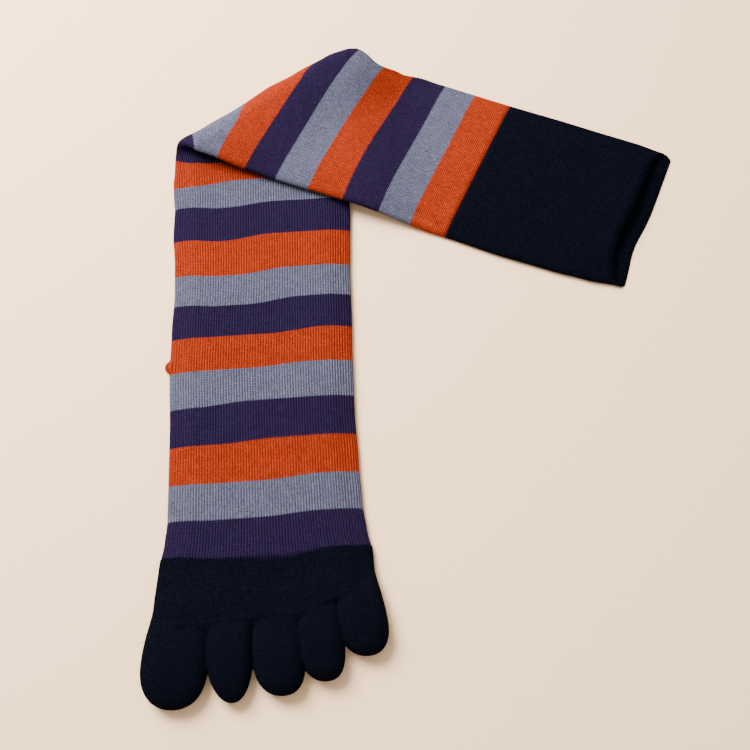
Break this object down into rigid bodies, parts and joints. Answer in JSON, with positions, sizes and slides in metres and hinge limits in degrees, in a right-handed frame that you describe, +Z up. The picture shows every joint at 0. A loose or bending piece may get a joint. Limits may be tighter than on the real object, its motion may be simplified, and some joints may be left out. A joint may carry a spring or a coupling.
{
  "type": "toe sock",
  "caption": "Knee-high toe sock with a pocket for each toe, a plain toe section, a striped foot and leg and a plain cuff, lying pressed flat and folded over once.",
  "frame": {"origin": "on the floor, in the middle of the lying sock's footprint", "axes": "+X to the right, the way the folded-over leg and cuff point; +Y from the toes towards the fold; +Z up, away from the floor"},
  "size_m": [0.2414, 0.3184, 0.0184],
  "materials": {
    "navy_knit": "fine plain knit, matt, very dark navy",
    "striped_knit": "fine ribbed knit, matt, in bands of dark purple, blue-grey and burnt orange"
  },
  "bodies": {
    "root": {"big_toe": "navy_knit", "second_toe": "navy_knit", "third_toe": "navy_knit", "fourth_toe": "navy_knit", "little_toe": "navy_knit", "toe_section": "navy_knit", "striped_leg": "striped_knit", "cuff": "navy_knit"}
  },
  "joints": []
}
